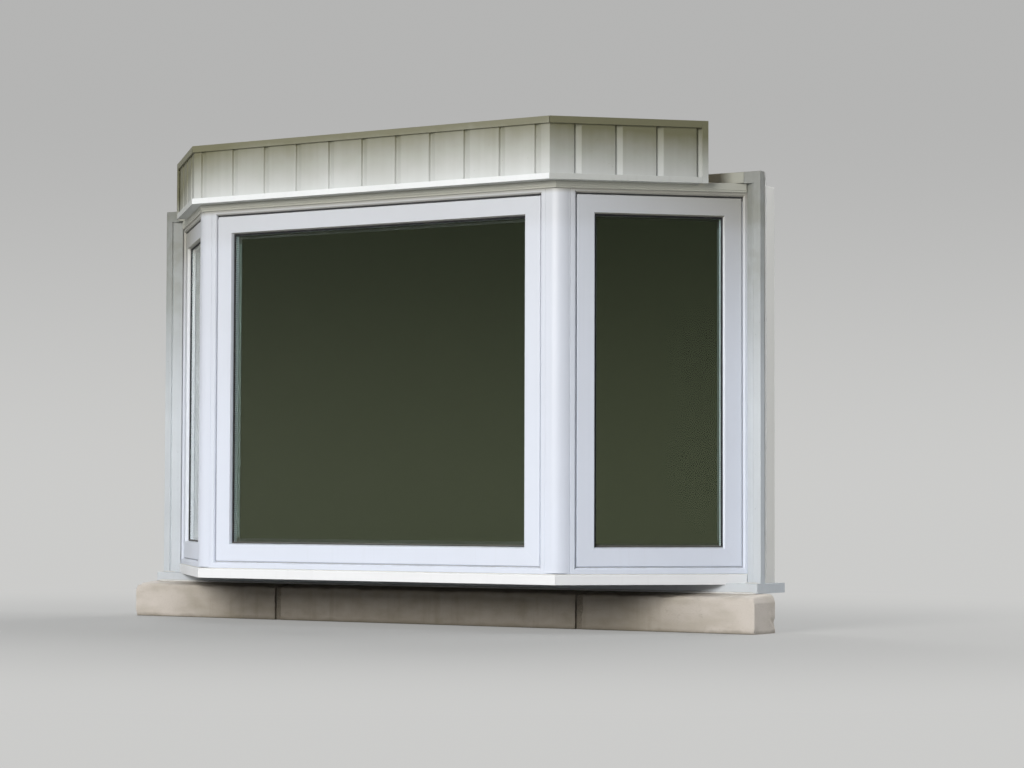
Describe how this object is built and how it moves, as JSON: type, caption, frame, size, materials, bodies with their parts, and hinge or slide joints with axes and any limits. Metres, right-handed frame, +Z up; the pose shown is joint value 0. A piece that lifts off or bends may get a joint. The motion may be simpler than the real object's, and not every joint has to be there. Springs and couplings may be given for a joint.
{
  "type": "bay window",
  "caption": "Angled bay window with a fixed centre light between two casements, rounded corner posts, ribbed frieze and stone sill.",
  "frame": {"origin": "middle of the stone sill's bed, in the plane of the wall's outer face", "axes": "+X along the wall to the right as seen from outside, +Y into the room, +Z up"},
  "size_m": [2.39, 0.605, 1.552],
  "materials": {
    "limestone": "tooled, weathered",
    "mortar": "rough, dark",
    "white_cladding": "satin white, bent sheet over timber",
    "board_paint": "satin white paint",
    "vinyl": "semi-gloss white",
    "glass": "clear, sealed double glazing",
    "spacer": "matt bar",
    "frieze_paint": "satin off-white, weathered",
    "plywood": "bare sheet",
    "softwood": "bare sawn timber",
    "crank_white": "satin white"
  },
  "bodies": {
    "root": {"stone_sill": "limestone", "mortar_joints": "mortar", "sill_filler": "white_cladding", "seat_board": "board_paint", "head_board": "board_paint", "jamb_board_left": "board_paint", "jamb_board_right": "board_paint", "frame_centre": "vinyl", "frame_left": "vinyl", "frame_right": "vinyl", "sash_centre": "vinyl", "sash_left": "vinyl", "sash_right": "vinyl", "glass_centre": "glass", "glass_left": "glass", "glass_right": "glass", "spacer_centre": "spacer", "spacer_left": "spacer", "spacer_right": "spacer", "bead_centre": "vinyl", "bead_left": "vinyl", "bead_right": "vinyl", "post_left": "vinyl", "post_right": "vinyl", "post_cover_left": "vinyl", "post_cover_right": "vinyl", "sill_fascia_front": "vinyl", "sill_fascia_left": "vinyl", "sill_fascia_right": "vinyl", "head_trim": "white_cladding", "reveal_strip_left": "white_cladding", "reveal_strip_right": "white_cladding", "head_capping": "white_cladding", "frieze_boards_front": "frieze_paint", "frieze_boards_left": "frieze_paint", "frieze_boards_right": "frieze_paint", "frieze_top_trim": "frieze_paint", "frieze_bottom_trim": "frieze_paint", "frieze_end_left": "frieze_paint", "frieze_end_right": "frieze_paint", "frieze_bottom_plate": "plywood", "frieze_top_plate": "plywood", "frieze_studs": "softwood", "crank_left": "crank_white", "crank_right": "crank_white"}
  },
  "joints": []
}
